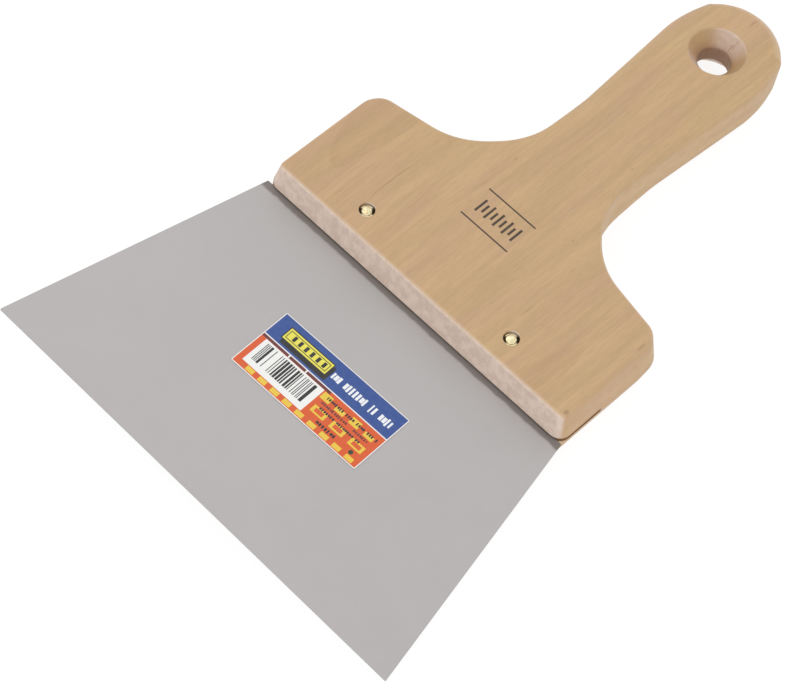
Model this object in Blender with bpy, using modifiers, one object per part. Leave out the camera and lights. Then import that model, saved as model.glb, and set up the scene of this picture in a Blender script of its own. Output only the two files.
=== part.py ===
"""Drywall taping knife: a sheet-steel blade let into the saw kerf of a one-piece beech handle.

The tool lies on the flat underside of its handle. +X runs across the blade, +Y from the
blade's working edge to the butt of the handle and +Z up. The origin is under the middle of
the tool's length, on the centre plane, at the height of the underside. The kerf is at the
middle of the handle's thickness, and the head is widest there: its sides lean in towards
both faces.
Two two-part brass rivets hold the blade: a flanged sleeve from above and a flanged pin
pressed into it from below. A paper label is stuck to the blade.
"""

import math

import bmesh
import bpy
from mathutils import Matrix, Vector

# Blade: a tapered sheet, with a narrower tang inside the handle.
BLADE_EDGE_WIDTH = 0.1800
BLADE_REACH = 0.1010  # from the working edge to the front of the head
BLADE_THICKNESS = 0.0007
BLADE_CORNER_RADIUS = 0.0003
BLADE_OVERHANG = 0.0001  # half the blade's rear width, less half the head's
TANG_INSET = 0.0030  # from each side of the head to the tang
TANG_SHOULDER = 0.0008  # how far the full width runs on into the kerf

# Handle: a board of one thickness, with a wide head, a neck and a grip.
HANDLE_LENGTH = 0.1800
HANDLE_THICKNESS = 0.0220
HEAD_WIDTH = 0.1384  # at mid-height, where it is widest
HEAD_FRONT_RADIUS = 0.0048
HEAD_REAR_RADIUS = 0.0100
HEAD_SIDE_LENGTH = 0.0513  # from the front face to the rear corner, before that is rounded
SHOULDER_RISE = 0.0082  # how far the shoulder climbs from the rear corner to the neck
NECK_WIDTH = 0.0360
NECK_FILLET = 0.0315
NECK_LENGTH = 0.0457  # from the foot of the shoulder to where the grip starts to widen
NECK_TO_GRIP_RADIUS = 0.0800
GRIP_WIDTH = 0.0430  # where the grip's sides and the butt's sides would meet
BUTT_LENGTH = 0.0225  # from that width to the end
BUTT_SIDE_RADIUS = 0.0500
BUTT_TAPER = 0.0036  # how far each side comes in between that width and the butt's corner
BUTT_CORNER_RADIUS = 0.0052
BUTT_END_RADIUS = 0.0210
BUTT_END_ANGLE = math.radians(42.0)  # from the centre plane to the lines the end arc touches
HEAD_EDGE_RADIUS = 0.0012
GRIP_EDGE_RADIUS = 0.0050
ROUNDING_STARTS = 0.0614  # behind the front face: the small round-over starts to grow
ROUNDING_ENDS = 0.1064
HEAD_LEAN = 0.0025  # how far the head's sides lean in between mid-height and each face
LEAN_FADES = 0.0460  # behind the front of the head: the lean starts to fade
LEAN_ENDS = 0.0680

# Saw kerf that takes the blade.
KERF_HEIGHT = HANDLE_THICKNESS / 2  # middle of the kerf above the underside
KERF_DEPTH = 0.0205
KERF_CLEARANCE = 0.0003  # above, below and behind the blade

# Hanging hole: a bore countersunk from both faces.
HOLE_SETBACK = 0.0255  # from the end of the handle to the centre of the bore
BORE_RADIUS = 0.0063
TOP_SINK_DEPTH = 0.0058
TOP_SINK_RADIUS = 0.0107
UNDER_SINK_DEPTH = 0.0095
UNDER_SINK_RADIUS = 0.0130

# Rivets.
RIVET_SPACING = 0.0677
RIVET_SETBACK = 0.0122  # behind the front of the head
RIVET_HEAD_RADIUS = 0.0025
RIVET_HEAD_THICKNESS = 0.0008
RIVET_DOME = 0.0003
RIVET_SINK = 0.0003  # top of the dome below the wood's surface
SLEEVE_RADIUS = 0.0018
SLEEVE_WALL = 0.0005
SLEEVE_TIP_HEIGHT = 0.0022  # end of the sleeve above the underside
PIN_END_GAP = 0.0010  # between the pin's tip and the bottom of the sleeve's bore
RIVET_CLEARANCE = 0.0003

# Label.
LABEL_LENGTH = 0.0564
LABEL_WIDTH = 0.0262
LABEL_THICKNESS = 0.00015
LABEL_GAP = 0.0001
LABEL_ACROSS = 0.0022  # centre of the label, from the blade's centre plane
LABEL_FROM_EDGE = 0.0572  # centre of the label, from the working edge
LABEL_TURN = math.radians(1.3)

# Fineness of the faceted surfaces.
ARC_STEP = math.radians(9.0)
LONGEST_STEP = 0.0045
ROUNDING_STEPS = 3
TURNED_STEPS = 32
CUT_MARGIN = 0.0010  # how far a cutter runs past the surface it opens

EDGE_Y = -(BLADE_REACH + HANDLE_LENGTH) / 2
FRONT_Y = EDGE_Y + BLADE_REACH
BUTT_Y = FRONT_Y + HANDLE_LENGTH
RIVET_Y = FRONT_Y + RIVET_SETBACK
HOLE_Y = BUTT_Y - HOLE_SETBACK
BLADE_TOP = KERF_HEIGHT + BLADE_THICKNESS / 2
RIVET_X = {"left": -RIVET_SPACING / 2, "right": RIVET_SPACING / 2}


def clear_scene():
    for obj in list(bpy.data.objects):
        bpy.data.objects.remove(obj, do_unlink=True)


def new_collection(name):
    collection = bpy.data.collections.new(name)
    bpy.context.scene.collection.children.link(collection)
    return collection


def new_material(name, color, roughness, metallic=0.0):
    material = bpy.data.materials.new(name)
    material.use_nodes = True
    shader = material.node_tree.nodes["Principled BSDF"]
    shader.inputs["Base Color"].default_value = (*color, 1.0)
    shader.inputs["Roughness"].default_value = roughness
    shader.inputs["Metallic"].default_value = metallic
    material.diffuse_color = (*color, 1.0)
    return material


def add_object(name, data, collection, material=None):
    obj = bpy.data.objects.new(name, data)
    collection.objects.link(obj)
    if material:
        data.materials.append(material)
    return obj


def as_cutter(obj):
    obj.hide_render = True
    obj.display_type = "WIRE"
    return obj


def cut(target, cutter):
    modifier = target.modifiers.new(cutter.name, "BOOLEAN")
    modifier.operation = "DIFFERENCE"
    modifier.solver = "EXACT"
    modifier.object = cutter


def rounded_corner(before, corner, after, radius):
    """Points of the arc that rounds one corner of an outline."""
    back = (Vector(before) - Vector(corner)).normalized()
    on = (Vector(after) - Vector(corner)).normalized()
    half = back.angle(on) / 2
    reach = radius / math.tan(half)
    centre = Vector(corner) + (back + on).normalized() * radius / math.sin(half)
    start = Vector(corner) + back * reach - centre
    turn = math.pi - 2 * half
    if back.x * on.y - back.y * on.x > 0:
        turn = -turn
    steps = max(2, math.ceil(abs(turn) / ARC_STEP))
    return [centre + Matrix.Rotation(turn * i / steps, 2) @ start for i in range(steps + 1)]


def rounded_outline(corners):
    """Closed outline of a polygon whose corners are (x, y, rounding radius)."""
    points = []
    for i, (x, y, radius) in enumerate(corners):
        before, after = corners[i - 1][:2], corners[(i + 1) % len(corners)][:2]
        if radius:
            points += rounded_corner(before, (x, y), after, radius)
        else:
            points.append(Vector((x, y)))
    return points


def divided(points, longest):
    """The same outline with no straight run longer than the given length."""
    result = []
    for i, point in enumerate(points):
        following = points[(i + 1) % len(points)]
        parts = max(1, math.ceil((following - point).length / longest))
        result += [point.lerp(following, part / parts) for part in range(parts)]
    return result


def mirrored_corners(right_half):
    """Right-half corners, front to rear, completed with the left half, anticlockwise."""
    left_half = [(-x, y, radius) for x, y, radius in reversed(right_half) if x]
    return right_half + left_half


def handle_outline():
    half_head, half_neck, half_grip = HEAD_WIDTH / 2, NECK_WIDTH / 2, GRIP_WIDTH / 2
    half_butt = half_grip - BUTT_TAPER
    apex_y = BUTT_Y + BUTT_END_RADIUS * (1 / math.sin(BUTT_END_ANGLE) - 1)
    shoulder_y = FRONT_Y + HEAD_SIDE_LENGTH
    neck_y = shoulder_y + SHOULDER_RISE
    right_half = [
        (half_head, FRONT_Y, HEAD_FRONT_RADIUS),
        (half_head, shoulder_y, HEAD_REAR_RADIUS),
        (half_neck, neck_y, NECK_FILLET),
        (half_neck, neck_y + NECK_LENGTH, NECK_TO_GRIP_RADIUS),
        (half_grip, BUTT_Y - BUTT_LENGTH, BUTT_SIDE_RADIUS),
        (half_butt, apex_y - half_butt / math.tan(BUTT_END_ANGLE), BUTT_CORNER_RADIUS),
        (0.0, apex_y, BUTT_END_RADIUS),
    ]
    return divided(rounded_outline(mirrored_corners(right_half)), LONGEST_STEP)


def eased_share(y, starts, ends):
    """Smooth change from 0 to 1 between two distances behind the front of the head."""
    share = (y - FRONT_Y - starts) / (ends - starts)
    share = min(max(share, 0.0), 1.0)
    return share * share * (3 - 2 * share)


def edge_radius(y):
    """Round-over of the handle's edges, growing from the head to the grip."""
    share = eased_share(y, ROUNDING_STARTS, ROUNDING_ENDS)
    return HEAD_EDGE_RADIUS + share * (GRIP_EDGE_RADIUS - HEAD_EDGE_RADIUS)


def lean(y, above_middle):
    """How far a side has leaned in at a height; the grip's sides stand upright."""
    lean_here = HEAD_LEAN * (1 - eased_share(y, LEAN_FADES, LEAN_ENDS))
    return lean_here * abs(above_middle) / (HANDLE_THICKNESS / 2)


def inward_normals(outline):
    """Unit normals pointing into an anticlockwise outline."""
    normals = []
    for i, point in enumerate(outline):
        following = outline[(i + 1) % len(outline)]
        ahead = (following - point).normalized()
        behind = (point - outline[i - 1]).normalized()
        along = (ahead + behind).normalized()
        normals.append(Vector((-along.y, along.x)))
    return normals


def rounded_board(name, outline, thickness):
    """A board whose round-over and lean change along its outline: a loft of inset outlines."""
    normals = inward_normals(outline)
    middle = thickness / 2
    angles = [math.pi / 2 * i / ROUNDING_STEPS for i in range(ROUNDING_STEPS + 1)]
    levels = [(angle, -1) for angle in angles]
    levels += [(math.pi / 2, 0)]
    levels += [(angle, 1) for angle in reversed(angles)]
    mesh = bmesh.new()
    loops = []
    for angle, side in levels:
        ring = []
        for point, normal in zip(outline, normals):
            radius = edge_radius(point.y)
            above_middle = side * (middle - radius * (1 - math.cos(angle)))
            inset = radius * (1 - math.sin(angle)) + lean(point.y, above_middle)
            ring.append(mesh.verts.new((*(point + normal * inset), middle + above_middle)))
        loops.append([mesh.edges.new((ring[i - 1], ring[i])) for i in range(len(ring))])
        if len(loops) > 1:
            bmesh.ops.bridge_loops(mesh, edges=loops[-2] + loops[-1])
    bmesh.ops.holes_fill(mesh, edges=loops[0] + loops[-1], sides=0)
    bmesh.ops.recalc_face_normals(mesh, faces=mesh.faces)
    data = bpy.data.meshes.new(name)
    mesh.to_mesh(data)
    mesh.free()
    data.shade_smooth()
    data.set_sharp_from_angle(angle=math.radians(35))
    return data


def box_mesh(name, size, centre):
    mesh = bmesh.new()
    place = Matrix.Translation(centre) @ Matrix.Diagonal((*size, 1.0))
    bmesh.ops.create_cube(mesh, size=1.0, matrix=place)
    data = bpy.data.meshes.new(name)
    mesh.to_mesh(data)
    mesh.free()
    return data


def turned(name, profile, collection, material=None):
    """A solid turned about its own Z from (radius, height) points, top to bottom."""
    mesh = bmesh.new()
    rings = [mesh.verts.new((radius, 0.0, height)) for radius, height in profile]
    for upper, lower in zip(rings, rings[1:]):
        mesh.edges.new((upper, lower))
    data = bpy.data.meshes.new(name)
    mesh.to_mesh(data)
    mesh.free()
    obj = add_object(name, data, collection, material)
    screw = obj.modifiers.new("turn", "SCREW")
    screw.axis = "Z"
    screw.angle = math.tau
    screw.steps = screw.render_steps = TURNED_STEPS
    screw.use_merge_vertices = True
    screw.merge_threshold = 0.00001
    screw.use_smooth_shade = True
    return obj


def outline_curve(name, outlines, thickness, collection, material):
    """A flat plate from closed outlines, the inner ones being holes."""
    curve = bpy.data.curves.new(name, "CURVE")
    curve.dimensions = "2D"
    curve.fill_mode = "BOTH"
    curve.extrude = thickness / 2
    for outline in outlines:
        spline = curve.splines.new("POLY")
        spline.points.add(len(outline) - 1)
        for point, place in zip(spline.points, outline):
            point.co = (*place, 0.0, 1.0)
        spline.use_cyclic_u = True
    return add_object(name, curve, collection, material)


def circle_outline(x, y, radius):
    angles = [math.tau * i / TURNED_STEPS for i in range(TURNED_STEPS)]
    return [Vector((x + radius * math.cos(a), y + radius * math.sin(a))) for a in angles]


def make_blade(parts):
    steel = new_material("stainless_steel", (0.47, 0.46, 0.46), 0.38, 1.0)
    half_rear = HEAD_WIDTH / 2 + BLADE_OVERHANG
    half_tang = HEAD_WIDTH / 2 - TANG_INSET
    shoulder_y = FRONT_Y + TANG_SHOULDER
    tang_y = FRONT_Y + KERF_DEPTH - KERF_CLEARANCE
    right_half = [
        (BLADE_EDGE_WIDTH / 2, EDGE_Y, BLADE_CORNER_RADIUS),
        (half_rear, shoulder_y, BLADE_CORNER_RADIUS),
        (half_tang, shoulder_y, 0.0),
        (half_tang, tang_y, BLADE_CORNER_RADIUS),
    ]
    hole_radius = SLEEVE_RADIUS + RIVET_CLEARANCE
    holes = [circle_outline(x, RIVET_Y, hole_radius) for x in RIVET_X.values()]
    outlines = [rounded_outline(mirrored_corners(right_half)), *holes]
    blade = outline_curve("blade", outlines, BLADE_THICKNESS, parts, steel)
    blade.location.z = KERF_HEIGHT


def make_handle(parts, cutters):
    beech = new_material("beech", (0.56, 0.38, 0.23), 0.55)
    board = rounded_board("handle", handle_outline(), HANDLE_THICKNESS)
    handle = add_object("handle", board, parts, beech)

    kerf_size = (
        HEAD_WIDTH + 2 * CUT_MARGIN,
        KERF_DEPTH + CUT_MARGIN,
        BLADE_THICKNESS + 2 * KERF_CLEARANCE,
    )
    kerf_centre = (0.0, FRONT_Y + (KERF_DEPTH - CUT_MARGIN) / 2, KERF_HEIGHT)
    kerf = add_object("kerf_cutter", box_mesh("kerf_cutter", kerf_size, kerf_centre), cutters)
    cut(handle, as_cutter(kerf))

    for side, x in RIVET_X.items():
        rivet_hole = turned(f"rivet_hole_{side}", rivet_hole_profile(), cutters)
        rivet_hole.location = (x, RIVET_Y, 0.0)
        cut(handle, as_cutter(rivet_hole))

    hanging_hole = turned("hanging_hole_cutter", hanging_hole_profile(), cutters)
    hanging_hole.location = (0.0, HOLE_Y, 0.0)
    cut(handle, as_cutter(hanging_hole))


def rivet_hole_profile():
    """Through hole for the sleeve with a flat-bottomed recess for each head."""
    hole = SLEEVE_RADIUS + RIVET_CLEARANCE
    recess = RIVET_HEAD_RADIUS + RIVET_CLEARANCE
    depth = RIVET_SINK + RIVET_DOME + RIVET_HEAD_THICKNESS + RIVET_CLEARANCE
    top = HANDLE_THICKNESS + CUT_MARGIN
    return [
        (0.0, top),
        (recess, top),
        (recess, HANDLE_THICKNESS - depth),
        (hole, HANDLE_THICKNESS - depth),
        (hole, depth),
        (recess, depth),
        (recess, -CUT_MARGIN),
        (0.0, -CUT_MARGIN),
    ]


def hanging_hole_profile():
    """Bore with a cone at each face, each cone carried on past its face."""
    top_slope = (TOP_SINK_RADIUS - BORE_RADIUS) / TOP_SINK_DEPTH
    under_slope = (UNDER_SINK_RADIUS - BORE_RADIUS) / UNDER_SINK_DEPTH
    top, under = HANDLE_THICKNESS + CUT_MARGIN, -CUT_MARGIN
    return [
        (0.0, top),
        (TOP_SINK_RADIUS + top_slope * CUT_MARGIN, top),
        (BORE_RADIUS, HANDLE_THICKNESS - TOP_SINK_DEPTH),
        (BORE_RADIUS, UNDER_SINK_DEPTH),
        (UNDER_SINK_RADIUS + under_slope * CUT_MARGIN, under),
        (0.0, under),
    ]


def dome_profile(crown_height, direction):
    """Points of a low dome, from its crown out to the head's rim; direction +1 is up."""
    sphere = (RIVET_HEAD_RADIUS**2 + RIVET_DOME**2) / (2 * RIVET_DOME)
    widest = math.asin(RIVET_HEAD_RADIUS / sphere)
    points = []
    for i in range(4):
        angle = widest * i / 3
        drop = sphere * (1 - math.cos(angle))
        points.append((sphere * math.sin(angle), crown_height - direction * drop))
    return points


def make_rivets(parts):
    brass = new_material("brass", (0.72, 0.53, 0.24), 0.32, 1.0)
    bore = SLEEVE_RADIUS - SLEEVE_WALL
    pin = bore - RIVET_CLEARANCE
    sleeve_crown = HANDLE_THICKNESS - RIVET_SINK
    head_depth = RIVET_DOME + RIVET_HEAD_THICKNESS
    sleeve_seat = sleeve_crown - head_depth
    pin_seat = RIVET_SINK + head_depth
    sleeve_profile = dome_profile(sleeve_crown, 1) + [
        (RIVET_HEAD_RADIUS, sleeve_seat),
        (SLEEVE_RADIUS, sleeve_seat),
        (SLEEVE_RADIUS, SLEEVE_TIP_HEIGHT),
        (bore, SLEEVE_TIP_HEIGHT),
        (bore, sleeve_seat),
        (0.0, sleeve_seat),
    ]
    pin_profile = [
        (0.0, sleeve_seat - PIN_END_GAP),
        (pin, sleeve_seat - PIN_END_GAP),
        (pin, pin_seat),
        (RIVET_HEAD_RADIUS, pin_seat),
        *reversed(dome_profile(RIVET_SINK, -1)),
    ]
    for side, x in RIVET_X.items():
        for name, profile in (("sleeve", sleeve_profile), ("pin", pin_profile)):
            rivet = turned(f"rivet_{name}_{side}", profile, parts, brass)
            rivet.location = (x, RIVET_Y, 0.0)


def make_label(parts):
    paper = new_material("printed_paper", (0.60, 0.16, 0.05), 0.45)
    size = (LABEL_LENGTH, LABEL_WIDTH, LABEL_THICKNESS)
    label = add_object("label", box_mesh("label", size, (0.0, 0.0, 0.0)), parts, paper)
    height = BLADE_TOP + LABEL_GAP + LABEL_THICKNESS / 2
    label.location = (LABEL_ACROSS, EDGE_Y + LABEL_FROM_EDGE, height)
    label.rotation_euler.z = LABEL_TURN


def main():
    clear_scene()
    parts = new_collection("taping_knife")
    cutters = new_collection("cutters")
    make_blade(parts)
    make_handle(parts, cutters)
    make_rivets(parts)
    make_label(parts)


main()
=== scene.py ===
"""Looks of a drywall taping knife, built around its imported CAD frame.

The knife lies on the flat underside of its handle. +X runs across the blade, +Y from the
working edge to the butt, +Z up, in metres. Every piece of the frame is replaced by a finer
piece of the same size: the beech handle, the steel blade, the two-part rivets and the label.
Patterns are laid out in millimetres, in the frame's own axes.
"""

import logging
import math
from contextlib import contextmanager
from dataclasses import dataclass, field, replace
from enum import Enum
from typing import Callable, Iterator, Sequence

import bmesh
import bpy
from mathutils import Matrix, Vector, noise


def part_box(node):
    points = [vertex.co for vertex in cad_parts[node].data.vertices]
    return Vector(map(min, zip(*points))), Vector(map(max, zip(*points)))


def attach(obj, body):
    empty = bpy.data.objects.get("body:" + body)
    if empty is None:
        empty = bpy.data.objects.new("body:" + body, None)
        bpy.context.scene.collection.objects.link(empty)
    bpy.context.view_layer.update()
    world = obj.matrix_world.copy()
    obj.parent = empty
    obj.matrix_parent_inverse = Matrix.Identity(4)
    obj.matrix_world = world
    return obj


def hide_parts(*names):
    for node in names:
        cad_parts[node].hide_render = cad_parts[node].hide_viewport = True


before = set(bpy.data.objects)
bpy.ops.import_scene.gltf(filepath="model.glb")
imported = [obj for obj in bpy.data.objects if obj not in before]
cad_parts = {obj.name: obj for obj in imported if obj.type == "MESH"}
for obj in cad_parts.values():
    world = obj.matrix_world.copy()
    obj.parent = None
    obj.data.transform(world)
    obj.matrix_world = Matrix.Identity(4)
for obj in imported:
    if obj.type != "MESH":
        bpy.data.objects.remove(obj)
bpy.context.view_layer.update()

LOG = logging.getLogger("taping_knife")
MM = 0.001
BODY = "root"

Number = float | int
Colour = tuple[float, float, float]
Socket = bpy.types.NodeSocket
Input = Number | tuple | Socket


class Slot(Enum):
    """Material slots of the record, one for each finish."""

    STEEL = "steel"
    BEECH = "beech"
    BRASS = "brass"
    LABEL = "label_paper"


class Side(Enum):
    """The two rivets, told apart by the side of the handle that they stand on."""

    LEFT = -1
    RIGHT = 1


# ---------------------------------------------------------------- measures from the frame


@dataclass(frozen=True)
class Frame:
    """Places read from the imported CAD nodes, in metres.

    Attributes:
        handle: Lowest and highest corner of the handle.
        blade: Lowest and highest corner of the blade.
        label: Lowest and highest corner of the label.
    """

    handle: tuple[Vector, Vector] = field(default_factory=lambda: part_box("handle"))
    blade: tuple[Vector, Vector] = field(default_factory=lambda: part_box("blade"))
    label: tuple[Vector, Vector] = field(default_factory=lambda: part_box("label"))

    @property
    def centre_x(self) -> float:
        """Plane that the handle is symmetric about."""
        return (self.handle[0].x + self.handle[1].x) / 2

    @property
    def half_head(self) -> float:
        """Half the width of the handle's head, at mid-height."""
        return (self.handle[1].x - self.handle[0].x) / 2

    @property
    def front_y(self) -> float:
        """Front of the handle at mid-height, where it is widest."""
        return self.handle[0].y

    @property
    def butt_y(self) -> float:
        """Rear end of the handle."""
        return self.handle[1].y

    @property
    def thickness(self) -> float:
        """Thickness of the handle, which stands on z = 0."""
        return self.handle[1].z

    def rivet(self, side: Side) -> Vector:
        """Centre of one rivet, on the underside of the handle.

        Args:
            side: Which of the two rivets.

        Returns:
            The point on the rivet's axis at z = 0.
        """
        low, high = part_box(f"rivet_sleeve_{side.name.lower()}")
        return Vector(((low.x + high.x) / 2, (low.y + high.y) / 2, 0.0))


# ---------------------------------------------------------------- modelling by hand, in code


class Workpiece:
    """One mesh on the bench: a primitive that is shaped in edit mode and then finished."""

    def __init__(self, name: str, add: Callable[..., object], **settings: object) -> None:
        """Adds the primitive that the piece starts from.

        Args:
            name: Name of the piece.
            add: The primitive's operator.
            settings: Size and place of the primitive, as the operator takes them.
        """
        bpy.ops.object.select_all(action="DESELECT")
        add(**settings)
        self.obj = bpy.context.active_object
        self.obj.name = self.obj.data.name = name
        bpy.ops.object.transform_apply(location=True, rotation=True, scale=True)

    @classmethod
    def block(cls, name: str, low: Sequence[float], high: Sequence[float]) -> "Workpiece":
        """Starts a piece as a cube stretched between two corners.

        Args:
            name: Name of the piece.
            low: Lowest corner.
            high: Highest corner.

        Returns:
            The new piece.
        """
        low, high = Vector(low), Vector(high)
        middle, size = (low + high) / 2, high - low
        return cls(name, bpy.ops.mesh.primitive_cube_add, size=1.0, location=middle, scale=size)

    @classmethod
    def turned(
        cls, name: str, path: Sequence[tuple[float, float]], place: Vector, sides: int
    ) -> "Workpiece":
        """Starts a piece as a cone and carries it on by extruding and scaling its end cap.

        Args:
            name: Name of the piece.
            path: (radius, height) of each ring, one after the other along the surface.
            place: Foot of the axis.
            sides: Facets round the axis.

        Returns:
            The new piece, closed, with its faces pointing outwards.
        """
        (radius, height), (next_radius, next_height) = path[:2]
        rising = next_height > height
        piece = cls(
            name,
            bpy.ops.mesh.primitive_cone_add,
            vertices=sides,
            radius1=radius if rising else next_radius,
            radius2=next_radius if rising else radius,
            depth=abs(next_height - height),
            location=place + Vector((0, 0, (height + next_height) / 2)),
        )
        with piece.editing():
            end = place.z + next_height
            piece.pick_faces(
                lambda face: abs(face.normal.z) > 0.99 and abs(face.calc_center_median().z - end) < 1e-6
            )
            for (radius, height), (next_radius, next_height) in zip(path[1:], path[2:]):
                piece.extrude((0, 0, next_height - height))
                piece.resize((next_radius / radius, next_radius / radius, 1), place)
            piece.face_outwards()
        return piece

    def select_alone(self) -> None:
        """Selects this piece and nothing else."""
        bpy.ops.object.select_all(action="DESELECT")
        bpy.context.view_layer.objects.active = self.obj
        self.obj.select_set(True)

    @contextmanager
    def editing(self) -> Iterator[None]:
        """Edit mode with only this piece selected."""
        self.select_alone()
        bpy.ops.object.mode_set(mode="EDIT")
        try:
            yield
        finally:
            bpy.ops.object.mode_set(mode="OBJECT")

    def _pick(self, kind: str, wanted: Callable[..., bool]) -> None:
        """Selects the elements that pass a test, and nothing else.

        Args:
            kind: FACE or EDGE.
            wanted: Test of one element.
        """
        bpy.ops.mesh.select_mode(type=kind)
        bpy.ops.mesh.select_all(action="DESELECT")
        mesh = bmesh.from_edit_mesh(self.obj.data)
        for element in mesh.faces if kind == "FACE" else mesh.edges:
            element.select_set(wanted(element))
        bmesh.update_edit_mesh(self.obj.data)

    def pick_faces(self, wanted: Callable[[bmesh.types.BMFace], bool]) -> None:
        """Selects the faces that pass a test, and nothing else."""
        self._pick("FACE", wanted)

    def pick_edges(self, wanted: Callable[[bmesh.types.BMEdge], bool]) -> None:
        """Selects the edges that pass a test, and nothing else."""
        self._pick("EDGE", wanted)

    def pick_upright_edges(self, x: float, y: float) -> None:
        """Selects the upright edge that stands at one point of the plan.

        Args:
            x: Place of the edge across.
            y: Place of the edge along.
        """
        here = Vector((x, y))
        self.pick_edges(lambda edge: all((v.co.xy - here).length < 1e-5 for v in edge.verts))

    @staticmethod
    def extrude(move: Sequence[float]) -> None:
        """Extrudes the selected faces by a move."""
        bpy.ops.mesh.extrude_region_move(TRANSFORM_OT_translate={"value": tuple(move)})

    @staticmethod
    def resize(factors: Sequence[float], centre: Sequence[float]) -> None:
        """Scales the selection about a point."""
        bpy.ops.transform.resize(value=tuple(factors), center_override=tuple(centre))

    @staticmethod
    def move(offset: Sequence[float]) -> None:
        """Moves the selection."""
        bpy.ops.transform.translate(value=tuple(offset))

    @staticmethod
    def round_edges(reach: float, segments: int, half_angle: float = math.pi / 4) -> None:
        """Rounds the selected edges to circular arcs.

        Args:
            reach: How far the arc reaches from the edge along each face.
            segments: Facets of the arc.
            half_angle: Half the angle inside the corner.
        """
        fullness = 1 - 0.5 / (1 + math.sin(half_angle))
        bpy.ops.mesh.bevel(
            offset_type="OFFSET",
            offset=reach,
            segments=segments,
            profile=fullness**2,
            affect="EDGES",
            clamp_overlap=False,
            loop_slide=False,
        )

    @staticmethod
    def bisect(point: Sequence[float], normal: Sequence[float]) -> None:
        """Cuts the selection along a plane and keeps both sides."""
        bpy.ops.mesh.bisect(plane_co=tuple(point), plane_no=tuple(normal), threshold=1e-7)

    @staticmethod
    def face_outwards() -> None:
        """Turns every face of the closed mesh outwards."""
        bpy.ops.mesh.select_all(action="SELECT")
        bpy.ops.mesh.normals_make_consistent(inside=False)

    def shift_points(self, mover: Callable[[Vector], Vector]) -> None:
        """Moves each vertex by a rule, as a sculptor's small strokes do.

        Args:
            mover: Gives the offset of the vertex at a point.
        """
        for vertex in self.obj.data.vertices:
            vertex.co += mover(vertex.co.copy())

    def apply_modifier(self, kind: str, **settings: object) -> None:
        """Adds a modifier and applies it at once.

        Args:
            kind: Blender's name of the modifier.
            settings: Its settings.
        """
        modifier = self.obj.modifiers.new(kind.title(), kind)
        for name, value in settings.items():
            setattr(modifier, name, value)
        self.select_alone()
        bpy.ops.object.modifier_apply(modifier=modifier.name)

    def cut(self, cutter: "Workpiece") -> None:
        """Takes the cutter's shape out of the piece and removes the cutter.

        Args:
            cutter: A closed piece, used up by the cut.
        """
        self.apply_modifier("BOOLEAN", operation="DIFFERENCE", solver="EXACT", object=cutter.obj)
        bpy.data.objects.remove(cutter.obj, do_unlink=True)

    def smooth(self, angle: float = 35.0) -> None:
        """Shades the piece smooth up to an angle, with flat faces kept flat.

        Args:
            angle: Sharpest turn, in degrees, that is still shaded smooth.
        """
        self.select_alone()
        bpy.ops.object.shade_smooth_by_angle(angle=math.radians(angle))
        self.apply_modifier("WEIGHTED_NORMAL", keep_sharp=True, weight=50)

    def put_in_place(self, node: str, slot: Slot, finish: bpy.types.Material) -> None:
        """Dresses the piece and puts it where the CAD node is.

        Args:
            node: CAD node that the piece stands for.
            slot: Material slot of the record. Not used.
            finish: The piece's material.
        """
        self.obj.data.materials.clear()
        self.obj.data.materials.append(finish)
        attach(self.obj, BODY)
        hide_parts(node)
        LOG.info("%s: %d faces, %s", self.obj.name, len(self.obj.data.polygons), finish.name)


# ---------------------------------------------------------------- shader nodes


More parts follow.
